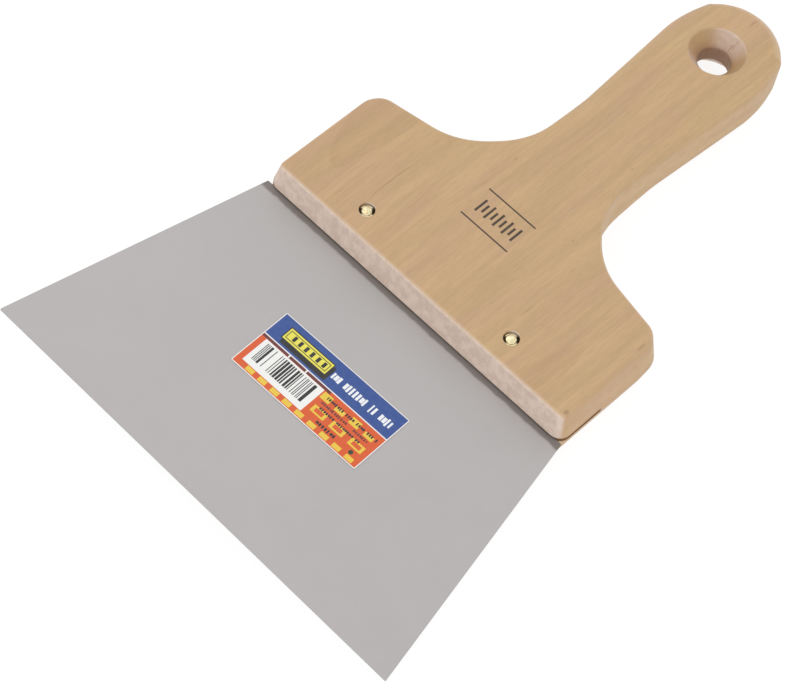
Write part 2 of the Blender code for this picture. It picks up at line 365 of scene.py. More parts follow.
class NodeBench:
    """Adds shader nodes to one tree and wires them up."""

    def __init__(self, tree: bpy.types.NodeTree) -> None:
        """Takes the tree that the nodes go in."""
        self.tree = tree

    def node(self, kind: str, **settings: object) -> bpy.types.Node:
        """Adds one node.

        Args:
            kind: Blender's name of the node.
            settings: Its own settings, apart from its sockets.

        Returns:
            The new node.
        """
        node = self.tree.nodes.new(kind)
        for name, value in settings.items():
            setattr(node, name, value)
        return node

    def plug(self, value: Input, socket: Socket) -> None:
        """Links a socket to the value, or sets the value on it."""
        if isinstance(value, bpy.types.NodeSocket):
            self.tree.links.new(value, socket)
        else:
            socket.default_value = value

    def math(self, operation: str, *values: Input, clamp: bool = False) -> Socket:
        """Adds a Math node and returns its result."""
        node = self.node("ShaderNodeMath", operation=operation, use_clamp=clamp)
        for value, socket in zip(values, node.inputs):
            self.plug(value, socket)
        return node.outputs[0]

    def product(self, *values: Input) -> Socket:
        """Multiplies any number of values."""
        result = values[0]
        for value in values[1:]:
            result = self.math("MULTIPLY", result, value)
        return result

    def vector(self, operation: str, *values: Input) -> Socket:
        """Adds a Vector Math node and returns its result."""
        node = self.node("ShaderNodeVectorMath", operation=operation)
        for value, socket in zip(values, node.inputs):
            self.plug(value, socket)
        return node.outputs["Value" if operation in ("LENGTH", "DOT_PRODUCT") else "Vector"]

    def scaled(self, colour: Input, strength: Input) -> Socket:
        """Makes a colour lighter or darker."""
        node = self.node("ShaderNodeVectorMath", operation="SCALE")
        self.plug(colour, node.inputs["Vector"])
        self.plug(strength, node.inputs["Scale"])
        return node.outputs["Vector"]

    def parts(self, vector: Socket) -> tuple[Socket, Socket, Socket]:
        """Splits a vector into its three numbers."""
        node = self.node("ShaderNodeSeparateXYZ")
        self.plug(vector, node.inputs[0])
        return node.outputs[0], node.outputs[1], node.outputs[2]

    def join(self, x: Input, y: Input, z: Input) -> Socket:
        """Joins three numbers into a vector."""
        node = self.node("ShaderNodeCombineXYZ")
        for value, socket in zip((x, y, z), node.inputs):
            self.plug(value, socket)
        return node.outputs[0]

    def noise(self, place: Input, scale: Input, detail: Input, roughness: float = 0.5) -> Socket:
        """Adds a noise texture.

        Args:
            place: Where it is read.
            scale: Lumps to a unit.
            detail: Octaves beyond the first.
            roughness: Strength of each octave against the last.

        Returns:
            The noise, about 0.5.
        """
        node = self.node("ShaderNodeTexNoise")
        for name, value in (("Vector", place), ("Scale", scale), ("Detail", detail)):
            self.plug(value, node.inputs[name])
        node.inputs["Roughness"].default_value = roughness
        return node.outputs[0]

    def span(
        self, value: Input, low: Input, high: Input, to_low: float = 0.0, to_high: float = 1.0
    ) -> Socket:
        """Carries a range of values softly on to another, with its ends held.

        Args:
            value: The value.
            low: Where the range starts.
            high: Where it ends.
            to_low: Result at the start.
            to_high: Result at the end.

        Returns:
            The new value.
        """
        node = self.node("ShaderNodeMapRange", interpolation_type="SMOOTHSTEP")
        for item, socket in zip((value, low, high, to_low, to_high), node.inputs):
            self.plug(item, socket)
        return node.outputs[0]

    def mix(self, factor: Input, first: Input, second: Input) -> Socket:
        """Mixes two colours.

        Args:
            factor: Share of the second colour.
            first: First colour.
            second: Second colour.

        Returns:
            The mixed colour.
        """
        node = self.node("ShaderNodeMix", data_type="RGBA")
        self.plug(factor, node.inputs[0])
        for value, socket in ((first, node.inputs[6]), (second, node.inputs[7])):
            self.plug((*value, 1.0) if isinstance(value, tuple) and len(value) == 3 else value, socket)
        return node.outputs[2]

    def effect(self, group: bpy.types.NodeTree, **inputs: Input) -> bpy.types.Node:
        """Places a node group.

        Args:
            group: The shared effect.
            inputs: Its named inputs.

        Returns:
            The group's node.
        """
        node = self.node("ShaderNodeGroup", node_tree=group)
        for name, value in inputs.items():
            self.plug(value, node.inputs[name])
        return node


def start_group(
    name: str, inputs: dict[str, str], outputs: Sequence[str]
) -> tuple[NodeBench, bpy.types.NodeOutputs, bpy.types.NodeInputs]:
    """Makes an empty shader node group with named sockets.

    Args:
        name: Name of the group.
        inputs: Name and type of each input, the type being Float or Vector.
        outputs: Name of each output, all of them numbers.

    Returns:
        The bench for its tree, what it is given and what it has to make.
    """
    tree = bpy.data.node_groups.new(name, "ShaderNodeTree")
    for socket, kind in inputs.items():
        tree.interface.new_socket(socket, in_out="INPUT", socket_type=f"NodeSocket{kind}")
    for socket in outputs:
        tree.interface.new_socket(socket, in_out="OUTPUT", socket_type="NodeSocketFloat")
    bench = NodeBench(tree)
    return bench, bench.node("NodeGroupInput").outputs, bench.node("NodeGroupOutput").inputs


class Effects:
    """The effects that the finishes share, each a node group built once."""

    def __init__(self, rivet_reach: float, centre_x: float, rivet_y: float) -> None:
        """Builds all the groups.

        Args:
            rivet_reach: From the handle's centre plane to each rivet, in millimetres.
            centre_x: Place of that plane, in millimetres.
            rivet_y: Place of the rivets along the tool, in millimetres.
        """
        self.streaks = self._streaks()
        self.mottle = self._mottle()
        self.spot = self._spot()
        self.box = self._box()
        self.text_row = self._text_row()
        self.rivet_place = self._rivet_place(rivet_reach, centre_x, rivet_y)

    @staticmethod
    def _streaks() -> bpy.types.NodeTree:
        """Noise drawn out along the tool: wood fibres, and the lines of rolling in steel."""
        inputs = {"Place": "Vector", "Across": "Float", "Along": "Float", "Detail": "Float"}
        bench, given, made = start_group("drawn_out_streaks", inputs, ["Value"])
        stretch = bench.join(given["Across"], given["Along"], given["Across"])
        place = bench.vector("MULTIPLY", given["Place"], stretch)
        bench.plug(bench.noise(place, 1.0, given["Detail"], 0.55), made["Value"])
        return bench.tree

    @staticmethod
    def _mottle() -> bpy.types.NodeTree:
        """Cloudy patches with a finer grain in them, about 0.5."""
        bench, given, made = start_group("mottled_patches", {"Place": "Vector", "Scale": "Float"}, ["Value"])
        broad = bench.noise(given["Place"], given["Scale"], 2.0, 0.5)
        fine = bench.noise(given["Place"], bench.math("MULTIPLY", given["Scale"], 5.3), 3.0, 0.6)
        total = bench.math("ADD", bench.math("MULTIPLY", broad, 0.7), bench.math("MULTIPLY", fine, 0.3))
        bench.plug(total, made["Value"])
        return bench.tree

    @staticmethod
    def _spot() -> bpy.types.NodeTree:
        """One soft oval spot."""
        inputs = {"Place": "Vector", "Centre": "Vector", "Reach": "Vector"}
        bench, given, made = start_group("soft_spot", inputs, ["Mask"])
        offset = bench.vector("SUBTRACT", given["Place"], given["Centre"])
        share = bench.vector("DIVIDE", offset, given["Reach"])
        bench.plug(bench.span(bench.vector("LENGTH", share), 1.0, 0.0), made["Mask"])
        return bench.tree

    @staticmethod
    def _box() -> bpy.types.NodeTree:
        """One printed rectangle with a slightly soft edge."""
        inputs = {"Place": "Vector", "Centre": "Vector", "Half": "Vector", "Blur": "Float"}
        bench, given, made = start_group("printed_box", inputs, ["Mask"])
        offset = bench.vector("SUBTRACT", given["Place"], given["Centre"])
        inside = bench.vector("SUBTRACT", given["Half"], bench.vector("ABSOLUTE", offset))
        masks = []
        for depth in bench.parts(inside)[:2]:
            share = bench.math("DIVIDE", depth, given["Blur"])
            masks.append(bench.math("ADD", share, 0.5, clamp=True))
        bench.plug(bench.product(*masks), made["Mask"])
        return bench.tree

    def _text_row(self) -> bpy.types.NodeTree:
        """A row of small blocks of uneven width and height, standing for a line of print."""
        inputs = {"Place": "Vector", "Centre": "Vector", "Half": "Vector", "Pitch": "Float"}
        bench, given, made = start_group("blocked_row", inputs, ["Mask"])
        x, y, _ = bench.parts(given["Place"])
        _, centre_y, _ = bench.parts(given["Centre"])
        _, half_y, _ = bench.parts(given["Half"])
        cells = bench.math("DIVIDE", x, given["Pitch"])
        draw = bench.node("ShaderNodeTexWhiteNoise", noise_dimensions="2D")
        bench.plug(bench.join(bench.math("FLOOR", cells), centre_y, 0.0), draw.inputs["Vector"])
        luck = draw.outputs["Value"]
        width = bench.math("MULTIPLY_ADD", luck, 0.5, 0.42)
        ink = bench.math("LESS_THAN", bench.math("FRACT", cells), width)
        height = bench.math("MULTIPLY", half_y, bench.math("MULTIPLY_ADD", luck, -0.45, 1.0))
        low = bench.math("GREATER_THAN", height, bench.math("ABSOLUTE", bench.math("SUBTRACT", y, centre_y)))
        gap = bench.math("GREATER_THAN", luck, 0.12)
        shared = {name: given[name] for name in ("Place", "Centre", "Half")}
        box = bench.effect(self.box, Blur=0.05, **shared)
        bench.plug(bench.product(box.outputs[0], ink, low, gap), made["Mask"])
        return bench.tree

    @staticmethod
    def _rivet_place(reach: float, centre_x: float, rivet_y: float) -> bpy.types.NodeTree:
        """Distance from the nearer rivet's axis, and how much a place lies on the two sides where shade is
        painted.

        Args:
            reach: From the handle's centre plane to each rivet, in millimetres.
            centre_x: Place of that plane, in millimetres.
            rivet_y: Place of the rivets along the tool, in millimetres.

        Returns:
            The group.
        """
        bench, given, made = start_group("place_round_rivet", {"Place": "Vector"}, ["Radius", "Sideways"])
        x, y, _ = bench.parts(given["Place"])
        across = bench.math("SUBTRACT", x, centre_x)
        middle = bench.math("MULTIPLY", bench.math("SIGN", across), reach)
        flat = bench.join(bench.math("SUBTRACT", across, middle), bench.math("SUBTRACT", y, rivet_y), 0.0)
        radius = bench.vector("LENGTH", flat)
        bench.plug(radius, made["Radius"])
        # Painted shade lies on the two sides of each rivet that this diagonal points at.
        sideways = bench.vector("DOT_PRODUCT", flat, (0.707, 0.707, 0.0))
        share = bench.math("DIVIDE", bench.math("ABSOLUTE", sideways), bench.math("MAXIMUM", radius, 0.01))
        bench.plug(share, made["Sideways"])
        return bench.tree


class MaterialBench(NodeBench):
    """Bench of one material: its shader, the shared effects and the place in millimetres."""

    def __init__(self, name: str, effects: Effects) -> None:
        """Makes the material with a Principled shader.

        Args:
            name: Name of the material.
            effects: The shared node groups.
        """
        self.material = bpy.data.materials.new(name)
        self.material.use_nodes = True
        super().__init__(self.material.node_tree)
        self.effects = effects
        mapping = self.node("ShaderNodeMapping", vector_type="POINT")
        mapping.inputs["Scale"].default_value = (1 / MM, 1 / MM, 1 / MM)
        self.plug(self.node("ShaderNodeTexCoord").outputs["Object"], mapping.inputs["Vector"])
        self.place = mapping.outputs[0]

    def streaks(self, place: Socket, across: float, along: float, detail: float) -> Socket:
        """Adds streaks along the tool, finer the larger `across` and `along` are."""
        group = self.effects.streaks
        return self.effect(group, Place=place, Across=across, Along=along, Detail=detail).outputs[0]

    def mottle(self, scale: float) -> Socket:
        """Adds cloudy patches, with so many of them to a millimetre."""
        return self.effect(self.effects.mottle, Place=self.place, Scale=scale).outputs[0]

    def spot(self, place: Socket, centre: Sequence[float], reach: Sequence[float]) -> Socket:
        """Adds a soft oval spot at a place of the plan."""
        inputs = {"Place": place, "Centre": (*centre[:2], 0.0), "Reach": (*reach[:2], 1.0)}
        return self.effect(self.effects.spot, **inputs).outputs[0]

    def box(self, centre: Sequence[float], half: Sequence[float], blur: float) -> Socket:
        """Adds a printed rectangle at a place of the plan."""
        inputs = {"Place": self.place, "Centre": (*centre[:2], 0.0), "Half": (*half[:2], 1.0)}
        return self.effect(self.effects.box, Blur=blur, **inputs).outputs[0]

    def row(self, centre: Sequence[float], half: Sequence[float], pitch: float) -> Socket:
        """Adds a printed row of small blocks at a place of the plan."""
        inputs = {"Place": self.place, "Centre": (*centre[:2], 0.0), "Half": (*half[:2], 1.0)}
        return self.effect(self.effects.text_row, Pitch=pitch, **inputs).outputs[0]

    def finish(
        self, colour: Socket, roughness: Input, height: Socket, depth: float, metallic: float = 0.0
    ) -> bpy.types.Material:
        """Wires up the shader.

        Args:
            colour: Base colour.
            roughness: Roughness.
            height: Height of the surface, from 0 to 1.
            depth: Depth of that range, in metres.
            metallic: How metallic it is.

        Returns:
            The material.
        """
        bump = self.node("ShaderNodeBump")
        bump.inputs["Strength"].default_value = 1.0
        bump.inputs["Distance"].default_value = depth
        self.plug(height, bump.inputs["Height"])
        shader = self.tree.nodes["Principled BSDF"]
        for name, value in (
            ("Base Color", colour),
            ("Roughness", roughness),
            ("Metallic", metallic),
            ("Normal", bump.outputs[0]),
        ):
            self.plug(value, shader.inputs[name])
        return self.material


# ---------------------------------------------------------------- finishes


@dataclass(frozen=True)
class Mark:
    """A spot or short line in the wood, in millimetres.

    Attributes:
        centre: Place on the top face.
        reach: Half its length across and along.
        depth: How much of its colour shows.
    """

    centre: tuple[float, float]
    reach: tuple[float, float]
    depth: float


@dataclass(frozen=True)
class BeechFinish:
    """Sanded, thinly lacquered beech with its figure along the tool. Places are in millimetres."""

    yellow: Colour = (0.505, 0.336, 0.168)
    pink: Colour = (0.500, 0.318, 0.180)
    dark: Colour = (0.400, 0.240, 0.125)
    line: Colour = (0.290, 0.165, 0.085)
    # Colour of the painted highlight on the rounded upper edges.
    edge_highlight: Colour = (0.72, 0.56, 0.42)
    end_light: Colour = (0.710, 0.575, 0.490)
    end_dark: Colour = (0.600, 0.470, 0.395)
    # The bore colour is painted shade in the bore and the kerf; the next colour is painted shade in the
    # rivet recesses.
    bore: Colour = (0.290, 0.140, 0.060)
    recess_shade: Colour = (0.030, 0.018, 0.010)
    ink: Colour = (0.026, 0.017, 0.012)
    roughness: tuple[float, float] = (0.46, 0.62)
    tongue_tip: tuple[float, float] = (-53.9, -24.1)
    arch_tip: tuple[float, float] = (50.1, -11.1)
    rules: tuple[tuple[float, float], ...] = ((-1.6, 10.25), (-1.5, -3.85))
    rule_half: tuple[float, float] = (10.9, 0.30)
    ticks: int = 9
    first_tick: tuple[float, float] = (-9.6, 3.2)
    tick_pitch: float = 2.05
    tick_half_width: float = 0.47
    tick_half_heights: tuple[float, float] = (3.1, 1.9)
    marks: tuple[Mark, ...] = (
        Mark((65.0, -34.3), (1.3, 1.6), 0.75),
        Mark((64.8, 2.5), (0.8, 3.4), 0.50),
        Mark((-15.2, 26.0), (0.5, 1.1), 0.55),
        Mark((20.8, 16.2), (0.4, 1.0), 0.55),
        Mark((14.2, 53.6), (0.5, 1.2), 0.40),
        Mark((29.2, 7.6), (0.3, 3.2), 0.45),
        Mark((30.0, -15.3), (0.3, 4.4), 0.50),
        Mark((0.2, 134.3), (0.9, 4.2), 0.50),
        Mark((-9.8, 134.6), (1.8, 1.6), 0.35),
        Mark((-25.4, -11.1), (0.35, 12.0), 0.35),
        Mark((-36.6, -13.1), (0.45, 26.0), 0.60),
        Mark((-19.0, -13.1), (0.35, 20.0), 0.22),
    )

    def build(self, effects: Effects, hole: Vector, top: float, kerf_end: Vector) -> bpy.types.Material:
        """Makes the material.

        Args:
            effects: The shared node groups.
            hole: Centre of the hanging hole, in metres.
            top: Height of the top face, in metres.
            kerf_end: Middle of the kerf's inner end, in metres.

        Returns:
            The beech material.
        """
        bench = MaterialBench("sanded_beech", effects)
        normal = bench.node("ShaderNodeTexCoord").outputs["Normal"]
        _, normal_y, normal_z = bench.parts(normal)
        upright = bench.math("ABSOLUTE", normal_y)
        wander = bench.noise(bench.vector("MULTIPLY", bench.place, (0.02, 0.008, 0.02)), 1.0, 2.0)
        sway = bench.math("MULTIPLY_ADD", wander, 9.0, -4.5)
        grain = bench.vector("ADD", bench.place, bench.join(sway, 0.0, 0.0))

        colour = self._streaked(bench, grain)
        colour = self._add_figure(bench, grain, colour)
        colour = self._add_marks(bench, grain, colour, normal_z)
        colour = bench.mix(bench.span(upright, 0.45, 0.85), colour, self._end_grain(bench))
        # Painted highlight: a paler colour on the rounded upper front and rear edges, by their slope.
        edge_highlight_mask = bench.span(bench.math("MULTIPLY", upright, normal_z), 0.12, 0.45, 0.0, 0.28)
        colour = bench.mix(edge_highlight_mask, colour, self.edge_highlight)
        colour = self._add_hollows(bench, colour, hole / MM, top / MM, kerf_end / MM)
        colour = bench.mix(self._print_mask(bench, grain, normal_z), colour, self.ink)
        roughness = bench.span(bench.mottle(0.3), 0.3, 0.7, *self.roughness)
        return bench.finish(colour, roughness, bench.streaks(grain, 3.2, 0.10, 3.0), 0.00006)

    def _streaked(self, bench: MaterialBench, grain: Socket) -> Socket:
        """Drift between the yellow and the pink tone, under streaks, fibres and pore flecks.

        Args:
            bench: Bench of the material.
            grain: Place in the grain, in millimetres.

        Returns:
            The wood's colour without figure or marks.
        """
        drift = bench.span(bench.streaks(grain, 0.085, 0.016, 3.0), 0.33, 0.67)
        colour = bench.mix(drift, self.yellow, self.pink)
        for across, along, detail, low, high in (
            (0.22, 0.012, 3.0, 0.95, 1.045),
            (0.85, 0.040, 3.0, 0.96, 1.035),
            (3.60, 0.220, 2.0, 0.96, 1.04),
        ):
            streak = bench.streaks(grain, across, along, detail)
            colour = bench.scaled(colour, bench.span(streak, 0.30, 0.70, low, high))
        flecks = bench.span(bench.streaks(grain, 2.4, 0.42, 1.0), 0.64, 0.74, 0.0, 0.30)
        return bench.mix(flecks, colour, self.dark)

    def _add_figure(self, bench: MaterialBench, grain: Socket, colour: Socket) -> Socket:
        """Adds the two places where the cut crosses the rings: a tongue and a pointed arch.

        Args:
            bench: Bench of the material.
            grain: Place in the grain, in millimetres.
            colour: The ground.

        Returns:
            The figured colour.
        """
        x, y, _ = bench.parts(bench.place)
        ripple = bench.math("MULTIPLY_ADD", bench.noise(grain, 0.14, 3.0), 3.6, -1.8)

        offset = bench.math("SUBTRACT", x, self.tongue_tip[0])
        steepness = bench.span(offset, -0.5, 0.5, 0.14, 0.90)
        rim = bench.math("ADD", bench.product(offset, offset, steepness), ripple)
        depth = bench.math("SUBTRACT", bench.math("SUBTRACT", y, self.tongue_tip[1]), rim)
        inside = bench.span(depth, -0.6, 1.0)
        rim_line = bench.product(inside, bench.span(depth, 9.0, 1.0))
        fade = bench.span(y, 22.0, 2.0, 0.35, 1.0)
        tongue = bench.product(bench.math("MULTIPLY_ADD", rim_line, 0.08, bench.product(inside, 0.24)), fade)
        colour = bench.mix(tongue, colour, self.dark)

        offset = bench.math("SUBTRACT", x, self.arch_tip[0])
        left_rim = bench.math("MULTIPLY", offset, -3.6)
        right_rim = bench.product(offset, offset, offset, offset, 0.017)
        rim = bench.math("ADD", bench.math("MAXIMUM", left_rim, right_rim), ripple)
        depth = bench.math("SUBTRACT", bench.math("SUBTRACT", self.arch_tip[1], y), rim)
        inside = bench.span(depth, -1.0, 1.6)
        rings = bench.math("SINE", bench.math("MULTIPLY", depth, 0.32))
        shade = bench.math("MULTIPLY_ADD", rings, 0.04, 0.20)
        return bench.mix(bench.product(inside, shade), colour, self.dark)

    def _add_marks(
        self, bench: MaterialBench, grain: Socket, colour: Socket, normal_z: Socket
    ) -> Socket:
        """Adds the spots and short lines of the top face.

        Args:
            bench: Bench of the material.
            grain: Place in the grain, for the wandering of the lines.
            colour: The ground.
            normal_z: Upward part of the normal, which keeps the marks to the top.

        Returns:
            The marked colour.
        """
        flat = bench.vector("MULTIPLY", bench.place, (1.0, 1.0, 0.0))
        wobble = bench.math("MULTIPLY_ADD", bench.noise(grain, 0.12, 1.0), 1.6, -0.8)
        bent = bench.vector("ADD", flat, bench.join(wobble, 0.0, 0.0))
        upper = bench.span(normal_z, 0.2, 0.5)
        for mark in self.marks:
            spot = bench.spot(bent, mark.centre, mark.reach)
            colour = bench.mix(bench.product(spot, upper, mark.depth), colour, self.line)
        return colour

    def _end_grain(self, bench: MaterialBench) -> Socket:
        """Mottled, pinkish end grain with its rays upright and its pores.

        Args:
            bench: Bench of the material.

        Returns:
            The end grain's colour.
        """
        ground = bench.mix(bench.span(bench.mottle(0.33), 0.38, 0.62), self.end_dark, self.end_light)
        rays = bench.noise(bench.vector("MULTIPLY", bench.place, (1.6, 1.0, 0.12)), 1.0, 2.0)
        ground = bench.mix(bench.span(rays, 0.55, 0.75, 0.0, 0.25), ground, self.pink)
        pores = bench.noise(bench.place, 2.6, 2.0, 0.6)
        return bench.mix(bench.span(pores, 0.58, 0.75, 0.0, 0.28), ground, self.dark)

    def _add_hollows(
        self, bench: MaterialBench, colour: Socket, hole: Vector, top: float, kerf_end: Vector
    ) -> Socket:
        """Paints shade into the bore, the rivet recesses and the inside of the kerf, and darkens the
        countersink cone a little.

        Args:
            bench: Bench of the material.
            colour: The ground.
            hole: Centre of the hanging hole, in millimetres.
            top: Height of the top face, in millimetres.
            kerf_end: Middle of the kerf's inner end, in millimetres.

        Returns:
            The darkened colour.
        """
        _, y, z = bench.parts(bench.place)
        offset = bench.vector("SUBTRACT", bench.place, (hole.x, hole.y, 0.0))
        radius = bench.vector("LENGTH", bench.vector("MULTIPLY", offset, (1.0, 1.0, 0.0)))
        # The countersink cone a little darker, and painted shade deeper down the bore.
        in_cone = bench.product(bench.span(radius, 11.0, 10.3), bench.span(z, top - 0.2, top - 1.0))
        colour = bench.mix(bench.math("MULTIPLY", in_cone, 0.22), colour, self.bore)
        below_cone = bench.span(z, top - 4.0, top - 7.5, 0.0, 0.75)
        colour = bench.mix(bench.product(bench.span(radius, 8.6, 6.6), below_cone), colour, self.bore)

        # Painted shade in the rivet recesses, on the two sides that the diagonal of place_round_rivet points
        # at.
        rivet = bench.effect(bench.effects.rivet_place, Place=bench.place).outputs
        near = bench.span(rivet["Radius"], 3.2, 2.75)
        ends = bench.span(rivet["Sideways"], 0.72, 0.97, 0.15, 0.95)
        deep = bench.span(z, top - 0.02, top - 0.4)
        colour = bench.mix(bench.product(near, ends, deep), colour, self.recess_shade)

        # Painted shade inside the kerf and along its lips on the front face.
        height = bench.math("ABSOLUTE", bench.math("SUBTRACT", z, kerf_end.z))
        in_head = bench.span(y, kerf_end.y, kerf_end.y - 1.0)
        in_kerf = bench.product(bench.span(height, 1.3, 0.7, 0.0, 0.80), in_head)
        return bench.mix(in_kerf, colour, self.bore)

    def _print_mask(self, bench: MaterialBench, grain: Socket, normal_z: Socket) -> Socket:
        """Two stamped rules with a row of measuring ticks between them.

        Args:
            bench: Bench of the material.
            grain: Place in the grain, where the ink has worn.
            normal_z: Upward part of the normal.

        Returns:
            The mask of the ink.
        """
        boxes = [(centre, self.rule_half) for centre in self.rules]
        x, y = self.first_tick
        for index in range(self.ticks):
            half = (self.tick_half_width, self.tick_half_heights[index % 2])
            boxes.append(((x + self.tick_pitch * index, y), half))
        total: Input = 0.0
        for centre, half in boxes:
            total = bench.math("MAXIMUM", total, bench.box(centre, half, 0.12))
        kept = bench.span(bench.streaks(grain, 3.0, 0.5, 2.0), 0.25, 0.40, 0.70, 0.93)
        return bench.product(total, kept, bench.span(normal_z, 0.90, 0.98))


@dataclass(frozen=True)
class SteelFinish:
    """Satin rolled sheet, nearly even, with a faint cloudiness and a painted contact shadow at the kerf."""

    light: Colour = (0.468, 0.450, 0.446)
    dull: Colour = (0.442, 0.424, 0.420)
    # Colour of the painted contact shadow at the kerf.
    kerf_shadow: Colour = (0.130, 0.100, 0.085)
    roughness: tuple[float, float] = (0.52, 0.60)
    metallic: float = 0.6

    def build(self, effects: Effects, kerf_y: float) -> bpy.types.Material:
        """Makes the steel material.

        Args:
            effects: The shared node groups.
            kerf_y: Where the blade enters the kerf, in metres.

        Returns:
            The steel material.
        """
        bench = MaterialBench("satin_steel", effects)
        clouds = bench.mottle(0.035)
        lines = bench.streaks(bench.place, 4.0, 0.05, 3.0)
        colour = bench.mix(bench.span(clouds, 0.35, 0.65), self.dull, self.light)
        colour = bench.mix(bench.span(lines, 0.35, 0.65, 0.0, 0.10), colour, self.dull)
        _, y, _ = bench.parts(bench.place)
        # Painted contact shadow with a brownish reflection of the handle's face: a band on the blade just in
        # front of the kerf, with a ragged edge.
        ragged = bench.math("MULTIPLY_ADD", bench.noise(bench.place, 0.25, 2.0), 1.2, -0.6)
        from_kerf = bench.math("SUBTRACT", kerf_y / MM, bench.math("ADD", y, ragged))
        colour = bench.mix(bench.span(from_kerf, 2.6, 1.4, 0.0, 0.70), colour, self.kerf_shadow)
        roughness = bench.span(clouds, 0.30, 0.70, *self.roughness)
        return bench.finish(colour, roughness, lines, 0.000006, self.metallic)


@dataclass(frozen=True)
class BrassFinish:
    """Pale brass, hammered bright on the crown, with painted shade round its foot on two sides, and dark
    nicks.
    """

    bright: Colour = (0.95, 0.86, 0.58)
    dull: Colour = (0.70, 0.57, 0.32)
    # Colour of the painted shade at the rim, and of the nicks.
    rim_shade_and_nicks: Colour = (0.035, 0.020, 0.008)
    roughness: tuple[float, float] = (0.20, 0.42)

    def build(self, effects: Effects) -> bpy.types.Material:
        """Makes the brass material from the shared node groups."""
        bench = MaterialBench("hammered_brass", effects)
        rivet = bench.effect(effects.rivet_place, Place=bench.place).outputs
        mottle = bench.mottle(0.9)
        colour = bench.mix(bench.span(mottle, 0.35, 0.62), self.dull, self.bright)
        # Painted shade round the foot of the crown on the two sides that the diagonal points at, with dark
        # nicks from the scratch noise.
        foot = bench.span(rivet["Radius"], 1.70, 2.05)
        ends = bench.span(rivet["Sideways"], 0.70, 0.92, 0.10, 1.0)
        scratches = bench.noise(bench.vector("MULTIPLY", bench.place, (2.4, 0.9, 1.0)), 1.0, 2.0)
        nicks = bench.span(scratches, 0.64, 0.70, 0.0, 0.5)
        rim_shade_and_nicks = bench.math("MAXIMUM", bench.product(foot, ends), nicks)
        roughness = bench.span(mottle, 0.3, 0.7, *self.roughness)
        return bench.finish(bench.mix(rim_shade_and_nicks, colour, self.rim_shade_and_nicks), roughness, mottle, 0.00005, 1.0)


class Stamp(Enum):
    """Ways of printing a rectangle of the label."""

    SOLID = "solid"
    ROW = "row"


@dataclass(frozen=True)
class Print:
    """One printed shape of the label, in shares of its length and width.

    Attributes:
        left: Where it starts along the label.
        right: Where it ends.
        rear: Where it starts, from the handle's side.
        front: Where it ends.
        colour: Its ink.
        stamp: Solid, or a row of small blocks.
        pitch: Length of one block, in millimetres.
    """

    left: float
    right: float
    rear: float
    front: float
    colour: Colour
    stamp: Stamp = Stamp.SOLID
    pitch: float = 1.0

    def repeated(self, count: int, step: float) -> list["Print"]:
        """Copies of the shape at an even step along the label."""
        return [replace(self, left=self.left + step * i, right=self.right + step * i) for i in range(count)]


